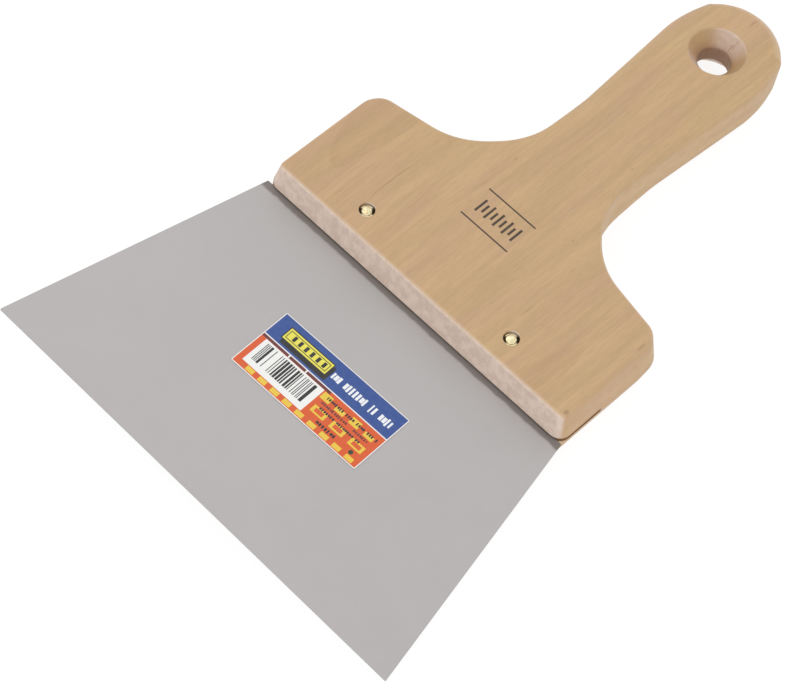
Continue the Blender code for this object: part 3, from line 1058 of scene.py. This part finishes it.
@dataclass(frozen=True)
class LabelFinish:
    """Glossy printed paper: a blue band, an orange ground, a bar code and plain blocks."""

    length: float
    width: float
    paper: Colour = (0.80, 0.80, 0.78)
    blue: Colour = (0.021, 0.067, 0.266)
    orange: Colour = (0.640, 0.090, 0.012)
    yellow: Colour = (0.745, 0.510, 0.045)
    lemon: Colour = (0.750, 0.680, 0.080)
    black: Colour = (0.012, 0.012, 0.014)
    maroon: Colour = (0.130, 0.022, 0.018)
    white: Colour = (0.78, 0.80, 0.82)
    green: Colour = (0.010, 0.045, 0.016)
    roughness: float = 0.30
    ink_blur: float = 0.08
    bar_width: float = 0.31
    dot_radius: float = 1.5

    def _shapes(self) -> list[Print]:
        """The printed shapes, each over the one before."""
        return [
            Print(0.006, 0.994, 0.012, 0.988, self.orange),
            *Print(0.530, 0.600, 0.470, 0.580, self.yellow).repeated(2, 0.230),
            *Print(0.645, 0.715, 0.510, 0.580, self.yellow).repeated(2, 0.230),
            *Print(0.100, 0.160, 0.905, 0.975, self.yellow).repeated(9, 0.100),
            *Print(0.550, 0.655, 0.690, 0.800, self.yellow).repeated(3, 0.150),
            *Print(0.570, 0.635, 0.715, 0.775, self.orange).repeated(3, 0.150),
            Print(0.006, 0.994, 0.012, 0.405, self.blue),
            Print(0.006, 0.994, 0.405, 0.420, self.white),
            Print(0.006, 0.560, 0.420, 0.462, self.maroon),
            Print(0.215, 0.225, 0.415, 0.462, self.white),
            Print(0.355, 0.365, 0.415, 0.462, self.white),
            Print(0.105, 0.470, 0.135, 0.375, self.black),
            Print(0.090, 0.450, 0.100, 0.315, self.black),
            Print(0.097, 0.443, 0.116, 0.299, self.lemon),
            Print(0.108, 0.432, 0.141, 0.274, self.black),
            Print(0.113, 0.427, 0.152, 0.263, self.lemon),
            Print(0.480, 0.745, 0.160, 0.300, self.white, Stamp.ROW, 1.45),
            Print(0.785, 0.950, 0.160, 0.300, self.white, Stamp.ROW, 1.45),
            Print(0.045, 0.520, 0.465, 0.895, self.paper),
            Print(0.570, 0.965, 0.490, 0.545, self.black, Stamp.ROW, 0.95),
            Print(0.560, 0.930, 0.590, 0.640, self.maroon, Stamp.ROW, 0.95),
            Print(0.580, 0.900, 0.665, 0.715, self.black, Stamp.ROW, 0.95),
            Print(0.620, 0.780, 0.830, 0.890, self.black, Stamp.ROW, 1.25),
            *Print(0.150, 0.172, 0.165, 0.250, self.black).repeated(6, 0.048),
        ]

    def build(self, effects: Effects, centre: Vector, turn: float) -> bpy.types.Material:
        """Makes the printed paper.

        Args:
            effects: The shared node groups.
            centre: Centre of the label, in metres.
            turn: Its turn on the blade, in radians.

        Returns:
            The paper material.
        """
        bench = MaterialBench("printed_paper", effects)
        mapping = bench.node("ShaderNodeMapping", vector_type="TEXTURE")
        mapping.inputs["Location"].default_value = centre / MM
        mapping.inputs["Rotation"].default_value = (0.0, 0.0, turn)
        bench.plug(bench.place, mapping.inputs["Vector"])
        bench.place = mapping.outputs[0]
        colour: Input = (*self.paper, 1.0)
        for shape in self._shapes():
            colour = bench.mix(self._mask(bench, shape), colour, shape.colour)
        colour = bench.mix(self._bars(bench), colour, self.black)
        flat = bench.vector("MULTIPLY", bench.place, (1.0, 1.0, 0.0))
        dot = bench.spot(flat, self._point(0.91, 0.86), (self.dot_radius, self.dot_radius))
        colour = bench.mix(bench.span(dot, 0.3, 0.5), colour, self.green)
        fade = bench.mottle(0.6)
        colour = bench.mix(bench.span(fade, 0.35, 0.7, 0.0, 0.02), colour, self.paper)
        return bench.finish(colour, self.roughness, fade, 0.00001)

    def _point(self, along: float, from_rear: float) -> tuple[float, float]:
        """Place in millimetres from the label's centre, from its shares of length and width."""
        return (along - 0.5) * self.length / MM, (0.5 - from_rear) * self.width / MM

    def _mask(self, bench: MaterialBench, shape: Print) -> Socket:
        """Mask of one printed shape.

        Args:
            bench: Bench of the material.
            shape: The shape.

        Returns:
            The mask.
        """
        centre = self._point((shape.left + shape.right) / 2, (shape.rear + shape.front) / 2)
        half_length = (shape.right - shape.left) / 2 * self.length / MM
        half = (half_length, (shape.front - shape.rear) / 2 * self.width / MM)
        if shape.stamp is Stamp.SOLID:
            return bench.box(centre, half, self.ink_blur)
        return bench.row(centre, half, shape.pitch)

    def _bars(self, bench: MaterialBench) -> Socket:
        """Uneven bars of the bar code, across its white box.

        Args:
            bench: Bench of the material.

        Returns:
            The mask of the bars.
        """
        x, _, _ = bench.parts(bench.place)
        draw = bench.node("ShaderNodeTexWhiteNoise", noise_dimensions="1D")
        bench.plug(bench.math("FLOOR", bench.math("DIVIDE", x, self.bar_width)), draw.inputs["W"])
        dark = bench.math("GREATER_THAN", draw.outputs["Value"], 0.50)
        return bench.product(dark, self._mask(bench, Print(0.075, 0.490, 0.495, 0.810, self.black)))


# ---------------------------------------------------------------- pieces of the knife


@dataclass
class Handle:
    """One-piece beech handle: wide head with a saw kerf, neck, grip and hanging hole.

    Lengths are in metres. The outline's corners are rounded by the radii given with them. The
    board is widest at mid-height, and at the head its rim leans in towards both faces.
    """

    place: Frame
    head_side: float = 0.0513
    shoulder_rise: float = 0.0082
    neck_width: float = 0.0360
    neck_length: float = 0.0457
    grip_width: float = 0.0430
    butt_length: float = 0.0225
    butt_taper: float = 0.0036
    end_radius: float = 0.0210
    end_angle: float = math.radians(42.0)
    front_radius: float = 0.0048
    rear_radius: float = 0.0100
    neck_fillet: float = 0.0315
    neck_to_grip: float = 0.0800
    grip_to_butt: float = 0.0500
    butt_corner: float = 0.0052
    head_easing: float = 0.0013
    grip_easing: float = 0.0050
    easing_starts: float = 0.0614
    easing_ends: float = 0.1064
    head_lean: float = 0.0025
    lean_fades: float = 0.0460
    lean_ends: float = 0.0680
    kerf_depth: float = 0.0205
    kerf_below: float = 0.0003
    kerf_above: float = 0.0006
    hole_setback: float = 0.0255
    bore: float = 0.0063
    top_sink: tuple[float, float] = (0.0058, 0.0107)
    under_sink: tuple[float, float] = (0.0095, 0.0130)
    recess_radius: float = 0.0028
    recess_depth: float = 0.0017
    recess_chamfer: float = 0.00025
    shank_radius: float = 0.0021
    cut_margin: float = 0.001

    @property
    def hole(self) -> Vector:
        """Centre of the hanging hole, on the underside."""
        return Vector((self.place.centre_x, self.place.butt_y - self.hole_setback, 0.0))

    @property
    def kerf_end(self) -> Vector:
        """Middle of the kerf's inner end."""
        middle = (self.place.blade[0].z + self.place.blade[1].z) / 2
        return Vector((self.place.centre_x, self.place.front_y + self.kerf_depth, middle))

    def corners(self) -> list[tuple[float, float, float]]:
        """Right-hand corners of the plan from front to rear, with the radius of each.

        Returns:
            (distance from the centre plane, place along, radius) of each corner.
        """
        head = self.place.half_head
        front, butt = self.place.front_y, self.place.butt_y
        shoulder = front + self.head_side
        neck = shoulder + self.shoulder_rise
        half_butt = self.grip_width / 2 - self.butt_taper
        tip = butt + self.end_radius * (1 / math.sin(self.end_angle) - 1)
        return [
            (head, front, self.front_radius),
            (head, shoulder, self.rear_radius),
            (self.neck_width / 2, neck, self.neck_fillet),
            (self.neck_width / 2, neck + self.neck_length, self.neck_to_grip),
            (self.grip_width / 2, butt - self.butt_length, self.grip_to_butt),
            (half_butt, tip - half_butt / math.tan(self.end_angle), self.butt_corner),
            (0.0, tip, self.end_radius),
        ]

    def easing(self, y: float) -> float:
        """Round-over of the handle's rim, which grows from the head to the grip.

        Args:
            y: Place along the handle.

        Returns:
            The radius there.
        """
        share = self._share(y, self.easing_starts, self.easing_ends)
        return self.head_easing + share * (self.grip_easing - self.head_easing)

    def lean(self, y: float) -> float:
        """How far a side has leaned in at either face, at a place along the handle."""
        return self.head_lean * (1 - self._share(y, self.lean_fades, self.lean_ends))

    def _share(self, y: float, starts: float, ends: float) -> float:
        """Smooth change from 0 to 1 between two distances behind the front.

        Args:
            y: Place along the handle.
            starts: Distance behind the front where it starts.
            ends: Distance where it ends.

        Returns:
            The share.
        """
        share = (y - self.place.front_y - starts) / (ends - starts)
        share = min(max(share, 0.0), 1.0)
        return share * share * (3 - 2 * share)

    def build(self) -> Workpiece:
        """Models the handle.

        Returns:
            The finished piece, not yet dressed.
        """
        piece = self._board()
        self._round_corners(piece)
        self._lean_sides(piece)
        self._ease_rim(piece)
        piece.cut(self._kerf_cutter())
        for side in Side:
            piece.cut(self._rivet_cutter(side))
        piece.cut(self._hole_cutter())
        piece.smooth()
        return piece

    def _board(self) -> Workpiece:
        """Extrudes the plan out of a block, stage by stage.

        Returns:
            The board with square edges and corners.
        """
        corners = self.corners()
        centre, top = self.place.centre_x, self.place.thickness
        half, front, _ = corners[0]
        _, shoulder, _ = corners[1]
        piece = Workpiece.block("beech_handle", (centre - half, front, 0), (centre + half, shoulder, top))
        with piece.editing():
            piece.pick_faces(lambda face: face.normal.y > 0.9)
            for (before, start, _), (after, end, _) in zip(corners[1:], corners[2:-1]):
                piece.extrude((0, end - start, 0))
                piece.resize((after / before, 1, 1), (centre, end, 0))
            _, rear, _ = corners[-2]
            _, tip, _ = corners[-1]
            piece.pick_edges(
                lambda edge: all(abs(v.co.y - rear) < 1e-5 for v in edge.verts)
                and abs(edge.verts[0].co.z - edge.verts[1].co.z) < 1e-6
            )
            bpy.ops.mesh.subdivide(number_cuts=1)
            piece.pick_upright_edges(centre, rear)
            piece.move((0, tip - rear, 0))
            bpy.ops.mesh.select_all(action="SELECT")
            bpy.ops.mesh.dissolve_limited(angle_limit=math.radians(0.3))
        return piece

    def _round_corners(self, piece: Workpiece) -> None:
        """Rounds every upright corner of the plan.

        Args:
            piece: The board.
        """
        corners = self.corners()
        whole = corners + [(-x, y, radius) for x, y, radius in reversed(corners) if x]
        with piece.editing():
            for index, (x, y, radius) in enumerate(whole):
                here = Vector((x, y))
                back = (Vector(whole[index - 1][:2]) - here).normalized()
                onward = (Vector(whole[(index + 1) % len(whole)][:2]) - here).normalized()
                half = back.angle(onward) / 2
                segments = max(6, math.ceil((math.pi - 2 * half) / math.radians(3.2)))
                piece.pick_upright_edges(self.place.centre_x + x, y)
                piece.round_edges(radius / math.tan(half), segments, half)

    def _lean_sides(self, piece: Workpiece) -> None:
        """Draws both rims in from the line at mid-height, where the board is widest.

        Args:
            piece: The board with its corners rounded.
        """
        step, upright = 0.0015, 0.1
        start = self.place.front_y + self.lean_fades
        cuts = round((self.easing_ends - self.lean_fades) / step)
        middle = self.place.thickness / 2
        with piece.editing():
            for index in range(cuts + 1):
                piece.pick_faces(lambda face: abs(face.normal.z) < upright)
                piece.bisect((0, start + index * step, 0), (0, 1, 0))
            piece.pick_faces(lambda face: abs(face.normal.z) < upright)
            piece.bisect((0, 0, middle), (0, 0, 1))
        mesh = piece.obj.data
        inwards = [Vector((0, 0, 0)) for _ in mesh.vertices]
        for face in mesh.polygons:
            if abs(face.normal.z) < upright:
                for index in face.vertices:
                    inwards[index] -= face.normal
        for vertex, inward in zip(mesh.vertices, inwards):
            if abs(vertex.co.z - middle) > middle / 2:
                vertex.co += inward.normalized() * self.lean(vertex.co.y)

    def _ease_rim(self, piece: Workpiece) -> None:
        """Rounds the upper and the lower rim, more at the grip than at the head.

        Args:
            piece: The board with its sides leant in.
        """
        mesh = piece.obj.data
        weights = mesh.attributes.new("bevel_weight_edge", "FLOAT", "EDGE")
        heights = (0.0, self.place.thickness)
        for edge in mesh.edges:
            first, second = (mesh.vertices[i].co for i in edge.vertices)
            on_rim = abs(first.z - second.z) < 1e-6 and any(abs(first.z - h) < 1e-6 for h in heights)
            if on_rim:
                weights.data[edge.index].value = self.easing((first.y + second.y) / 2) / self.grip_easing
        piece.apply_modifier(
            "BEVEL",
            width=self.grip_easing,
            segments=8,
            limit_method="WEIGHT",
            profile=0.5,
            use_clamp_overlap=False,
            loop_slide=False,
        )

    def _kerf_cutter(self) -> Workpiece:
        """Blade-thin box whose upper lip is a little torn by the saw.

        Returns:
            The cutter.
        """
        low, high = self.place.blade
        margin, front = self.cut_margin, self.place.front_y
        lip_run, ragged_rise = 0.0008, 0.00022
        chip_x, chip_reach, chip_rise = -0.0268, 0.0014, 0.0006
        reach = self.place.half_head + margin
        centre = self.place.centre_x
        top = high.z + self.kerf_above
        cutter = Workpiece.block(
            "kerf_cutter",
            (centre - reach, front - margin, low.z - self.kerf_below),
            (centre + reach, front + self.kerf_depth, top),
        )
        with cutter.editing():
            cutter.pick_edges(lambda edge: abs(edge.verts[0].co.x - edge.verts[1].co.x) > reach)
            bpy.ops.mesh.subdivide(number_cuts=220)
            bpy.ops.mesh.select_all(action="SELECT")
            cutter.bisect((0, front + lip_run, 0), (0, 1, 0))

        def tear(point: Vector) -> Vector:
            """Lifts the lip by a fine raggedness and one chip."""
            if point.z < top - 1e-6 or point.y > front + lip_run / 2:
                return Vector((0, 0, 0))
            ragged = max(0.0, noise.noise(Vector((point.x * 900, 3.1, 0.0)))) * ragged_rise
            chip = max(0.0, 1 - abs(point.x - chip_x) / chip_reach) * chip_rise
            return Vector((0, 0, ragged + chip))

        cutter.shift_points(tear)
        return cutter

    def _rivet_cutter(self, side: Side) -> Workpiece:
        """Hole for one rivet's shank, with a flat recess at each face.

        Args:
            side: Which of the two rivets.

        Returns:
            The cutter.
        """
        top, margin, depth = self.place.thickness, self.cut_margin, self.recess_depth
        chamfer = self.recess_chamfer
        path = [
            (self.recess_radius + margin + chamfer, -margin),
            (self.recess_radius, chamfer),
            (self.recess_radius, depth),
            (self.shank_radius, depth),
            (self.shank_radius, top - depth),
            (self.recess_radius, top - depth),
            (self.recess_radius, top - chamfer),
            (self.recess_radius + margin + chamfer, top + margin),
        ]
        return Workpiece.turned(f"rivet_cutter_{side.name}", path, self.place.rivet(side), 64)

    def _hole_cutter(self) -> Workpiece:
        """Bore with a cone at each face, the upper one torn across the end grain.

        Returns:
            The cutter.
        """
        top, margin = self.place.thickness, self.cut_margin
        (top_depth, top_radius), (under_depth, under_radius) = self.top_sink, self.under_sink
        under_slope = (under_radius - self.bore) / under_depth
        top_slope = (top_radius - self.bore) / top_depth
        rings = 14
        path = [(under_radius + under_slope * margin, -margin), (self.bore, under_depth)]
        run = top_depth + margin
        path += [
            (self.bore + top_slope * run * i / rings, top - top_depth + run * i / rings)
            for i in range(rings + 1)
        ]
        cutter = Workpiece.turned("hole_cutter", path, self.hole, 240)
        centre, foot = self.hole, top - top_depth
        ridge_depth, fine_depth = 0.00034, 0.00016
        torn_middle, torn_spread = 0.10, 0.42

        def tear(point: Vector) -> Vector:
            """Presses ridges into the cone where it crosses the fibres."""
            out = Vector((point.x - centre.x, point.y - centre.y, 0.0))
            height = point.z - foot
            if height < 1e-6:
                return Vector((0, 0, 0))
            angle = math.atan2(out.x, out.y)
            across_fibres = math.exp(-((angle - torn_middle) / torn_spread) ** 2)
            ridge = noise.noise(Vector((angle * 15.0, height * 260.0, 0.4)))
            fine = noise.noise(Vector((angle * 34.0, height * 700.0, 7.4)))
            depth = (ridge_depth * abs(ridge) + fine_depth * fine) * across_fibres
            return out.normalized() * depth

        cutter.shift_points(tear)
        return cutter


@dataclass
class Blade:
    """Tapered sheet of steel with a narrower tang inside the kerf."""

    place: Frame
    overhang: float = 0.0001
    tang_inset: float = 0.0030
    tang_shoulder: float = 0.0008
    tang_depth: float = 0.0202
    corner: float = 0.0003
    hole_radius: float = 0.0021
    sheared_edge: float = 0.00013

    def build(self) -> Workpiece:
        """Models the blade.

        Returns:
            The finished piece, not yet dressed.
        """
        low, high = self.place.blade
        front = self.place.front_y
        half_head = self.place.half_head
        half_rear, half_tang = half_head + self.overhang, half_head - self.tang_inset
        shoulder = front + self.tang_shoulder
        piece = Workpiece.block("steel_blade", low, (high.x, shoulder, high.z))
        with piece.editing():
            piece.pick_faces(lambda face: face.normal.y > 0.9)
            piece.resize((half_rear / high.x, 1, 1), (0, shoulder, 0))
            for x in (-half_tang, half_tang):
                bpy.ops.mesh.select_all(action="SELECT")
                piece.bisect((x, 0, 0), (1, 0, 0))
            piece.pick_faces(
                lambda face: face.normal.y > 0.9 and abs(face.calc_center_median().x) < half_tang
            )
            piece.extrude((0, front + self.tang_depth - shoulder, 0))
            for x, y in ((high.x, low.y), (half_rear, shoulder), (half_tang, front + self.tang_depth)):
                for turn in (-1, 1):
                    piece.pick_upright_edges(turn * x, y)
                    piece.round_edges(self.corner, 4)
        for side in Side:
            path = [(self.hole_radius, -0.001), (self.hole_radius, 0.02)]
            piece.cut(Workpiece.turned("tang_hole", path, self.place.rivet(side), 48))
        piece.apply_modifier(
            "BEVEL",
            width=self.sheared_edge,
            segments=2,
            limit_method="ANGLE",
            angle_limit=math.radians(50),
            use_clamp_overlap=False,
        )
        piece.smooth()
        return piece


@dataclass
class Rivets:
    """Two two-part rivets: a flanged sleeve from above and a flanged pin from below."""

    place: Frame
    head_radius: float = 0.0025
    crown_radius: float = 0.0020
    head_depth: float = 0.0011
    sink: float = 0.0003
    crown_rise: float = 0.0007
    rim_bevel: float = 0.0001
    sleeve_radius: float = 0.0018
    sleeve_bore: float = 0.0013
    sleeve_tip: float = 0.0022
    pin_radius: float = 0.0010
    pin_gap: float = 0.0010
    bore_end: float = 0.0180
    dent_depth: float = 0.00016

    def _crown(self, rim: float, rise: float) -> list[tuple[float, float]]:
        """Rings of a hammered crown that stands on a thin flange, from the rim inwards.

        Args:
            rim: Height of the flange's outer face.
            rise: Signed height of the crown above it.

        Returns:
            (radius, height) of each ring.
        """
        steps = 9
        rings = [(self.head_radius - self.rim_bevel, rim), (self.crown_radius, rim + 0.05 * rise)]
        for index in range(1, steps):
            angle = math.pi / 2 * index / steps
            swell = math.sin(angle) ** 0.75
            rings.append((self.crown_radius * math.cos(angle), rim + rise * swell))
        return rings

    def sleeve(self, side: Side) -> Workpiece:
        """Models one flanged sleeve, hollow from below.

        Args:
            side: Which of the two rivets.

        Returns:
            The finished piece, not yet dressed.
        """
        top = self.place.thickness - self.sink
        under_head = top - self.head_depth
        rim = top - self.crown_rise
        path = [
            (self.sleeve_bore, self.bore_end),
            (self.sleeve_bore, self.sleeve_tip),
            (self.sleeve_radius, self.sleeve_tip),
            (self.sleeve_radius, under_head),
            (self.head_radius, under_head),
            (self.head_radius, rim - self.rim_bevel),
            *self._crown(rim, top - rim),
        ]
        return self._hammered(f"brass_sleeve_{side.name.lower()}", path, side)

    def pin(self, side: Side) -> Workpiece:
        """Models one flanged pin, pressed into its sleeve from below.

        Args:
            side: Which of the two rivets.

        Returns:
            The finished piece, not yet dressed.
        """
        over_head = self.sink + self.head_depth
        rim = self.sink + self.crown_rise
        path = [
            (self.pin_radius * 0.8, self.bore_end - self.pin_gap),
            (self.pin_radius, self.bore_end - self.pin_gap - 0.0003),
            (self.pin_radius, over_head),
            (self.head_radius, over_head),
            (self.head_radius, rim + self.rim_bevel),
            *self._crown(rim, self.sink - rim),
        ]
        return self._hammered(f"brass_pin_{side.name.lower()}", path, side)

    def _hammered(self, name: str, path: list[tuple[float, float]], side: Side) -> Workpiece:
        """Turns a rivet part and dents its crown.

        Args:
            name: Name of the piece.
            path: Rings along its surface.
            side: Which of the two rivets.

        Returns:
            The finished piece.
        """
        piece = Workpiece.turned(name, path, self.place.rivet(side), 72)
        centre = self.place.rivet(side)
        rim = self.sink + self.crown_rise
        ends = (rim, self.place.thickness - rim)

        def dent(point: Vector) -> Vector:
            """Presses shallow hammer marks into the crown."""
            on_crown = (point.xy - centre.xy).length < self.crown_radius
            if not on_crown or ends[0] < point.z < ends[1]:
                return Vector((0, 0, 0))
            mark = noise.noise(Vector((point.x * 1100, point.y * 1100, side.value * 2.0)))
            depth = self.dent_depth * (0.5 + 0.5 * mark)
            return Vector((0, 0, -depth if point.z > ends[1] else depth))

        piece.shift_points(dent)
        piece.smooth(40.0)
        return piece


@dataclass
class Label:
    """Thin paper label, stuck to the blade a little askew."""

    place: Frame
    length: float = 0.0564
    width: float = 0.0262
    turn: float = math.radians(1.3)
    corner: float = 0.0005
    deckle: float = 0.00004

    @property
    def centre(self) -> Vector:
        """Centre of the label."""
        return (self.place.label[0] + self.place.label[1]) / 2

    def build(self) -> Workpiece:
        """Models the label.

        Returns:
            The finished piece, not yet dressed.
        """
        low, high = self.place.label
        half = Vector((self.length / 2, self.width / 2, (high.z - low.z) / 2))
        piece = Workpiece.block("paper_label", self.centre - half, self.centre + half)
        with piece.editing():
            for x in (-half.x, half.x):
                for y in (-half.y, half.y):
                    piece.pick_upright_edges(self.centre.x + x, self.centre.y + y)
                    piece.round_edges(self.corner, 6)
            bpy.ops.mesh.select_all(action="SELECT")
            turned = Matrix.Rotation(self.turn, 4, "Z")
            mesh = bmesh.from_edit_mesh(piece.obj.data)
            bmesh.ops.rotate(mesh, cent=self.centre, matrix=turned, verts=mesh.verts)
            bmesh.update_edit_mesh(piece.obj.data)
        piece.apply_modifier(
            "BEVEL", width=self.deckle, segments=2, limit_method="ANGLE", use_clamp_overlap=False
        )
        piece.smooth()
        return piece


# ---------------------------------------------------------------- studio


@dataclass
class Studio:
    """Pale floor, even soft light, and the camera.

    Angles are in degrees. The camera looks at a point near the middle of the tool.
    """

    azimuth: float = 35.69
    elevation: float = 57.86
    roll: float = 10.94
    distance: float = 0.8885
    aim: tuple[float, float, float] = (0.0064, -0.0543, 0.0158)
    lens: float = 123.66
    floor_size: float = 8.0
    sky: float = 1.0
    floor_colour: Colour = (0.16, 0.16, 0.16)
    floor_glow: float = 0.88

    def build(self) -> None:
        """Sets up the whole studio."""
        self._floor()
        self._sky()
        self._lamps()
        self._camera()
        scene = bpy.context.scene
        scene.view_settings.view_transform = "Standard"
        scene.view_settings.look = "None"
        LOG.info("studio: floor, sky, lamps and camera")

    def _floor(self) -> None:
        """Lays the floor under the tool."""
        bpy.ops.object.select_all(action="DESELECT")
        bpy.ops.mesh.primitive_plane_add(size=self.floor_size)
        floor = bpy.context.active_object
        floor.name = "studio_floor"
        material = bpy.data.materials.new("pale_floor")
        material.use_nodes = True
        shader = material.node_tree.nodes["Principled BSDF"]
        shader.inputs["Base Color"].default_value = (*self.floor_colour, 1.0)
        shader.inputs["Roughness"].default_value = 0.9
        shader.inputs["Specular IOR Level"].default_value = 0.0
        shader.inputs["Emission Color"].default_value = (1.0, 1.0, 1.0, 1.0)
        shader.inputs["Emission Strength"].default_value = self.floor_glow
        floor.data.materials.append(material)

    def _sky(self) -> None:
        """Surrounds the scene with even white light."""
        world = bpy.data.worlds.new("soft_white")
        world.use_nodes = True
        background = world.node_tree.nodes["Background"]
        background.inputs["Color"].default_value = (1.0, 1.0, 1.0, 1.0)
        background.inputs["Strength"].default_value = self.sky
        bpy.context.scene.world = world

    def _lamps(self) -> None:
        """Hangs two wide soft boxes."""
        for name, place, size, power in (
            ("soft_box_front", (0.4, -1.1, 1.2), 0.9, 2.4),
            ("soft_box_left", (-0.9, 0.2, 1.3), 0.9, 1.4),
        ):
            lamp = bpy.data.lights.new(name, "AREA")
            lamp.size = size
            lamp.energy = power
            stand = bpy.data.objects.new(name, lamp)
            stand.location = place
            stand.rotation_euler = (-Vector(place)).to_track_quat("-Z", "Y").to_euler()
            bpy.context.scene.collection.objects.link(stand)

    def _camera(self) -> None:
        """Places the camera by its angles round the tool."""
        turn, rise, roll = (math.radians(v) for v in (self.azimuth, self.elevation, self.roll))
        ahead = Vector(
            (-math.sin(turn) * math.cos(rise), math.cos(turn) * math.cos(rise), -math.sin(rise))
        )
        level = Vector((math.cos(turn), math.sin(turn), 0.0))
        above = level.cross(ahead)
        right = level * math.cos(roll) + above * math.sin(roll)
        up = above * math.cos(roll) - level * math.sin(roll)
        data = bpy.data.cameras.new("camera")
        data.lens = self.lens
        data.sensor_width = 36.0
        data.clip_start, data.clip_end = 0.05, 20.0
        camera = bpy.data.objects.new("camera", data)
        stand = Vector(self.aim) - ahead * self.distance
        axes = Matrix((right, up, -ahead)).transposed().to_4x4()
        camera.matrix_world = Matrix.Translation(stand) @ axes
        bpy.context.scene.collection.objects.link(camera)
        bpy.context.scene.camera = camera


# ---------------------------------------------------------------- putting it together


def main() -> None:
    """Builds the studio and every piece of the knife."""
    logging.basicConfig(level=logging.INFO, format="%(message)s")
    Studio().build()

    place = Frame()
    left, right = place.rivet(Side.LEFT), place.rivet(Side.RIGHT)
    effects = Effects((right.x - left.x) / 2 / MM, (left.x + right.x) / 2 / MM, left.y / MM)

    handle = Handle(place)
    beech = BeechFinish().build(effects, handle.hole, place.thickness, handle.kerf_end)
    handle.build().put_in_place("handle", Slot.BEECH, beech)

    Blade(place).build().put_in_place("blade", Slot.STEEL, SteelFinish().build(effects, place.front_y))

    brass = BrassFinish().build(effects)
    rivets = Rivets(place)
    for side in Side:
        rivets.sleeve(side).put_in_place(f"rivet_sleeve_{side.name.lower()}", Slot.BRASS, brass)
        rivets.pin(side).put_in_place(f"rivet_pin_{side.name.lower()}", Slot.BRASS, brass)

    label = Label(place)
    paper = LabelFinish(label.length, label.width).build(effects, label.centre, label.turn)
    label.build().put_in_place("label", Slot.LABEL, paper)


if __name__ == "__main__":
    main()
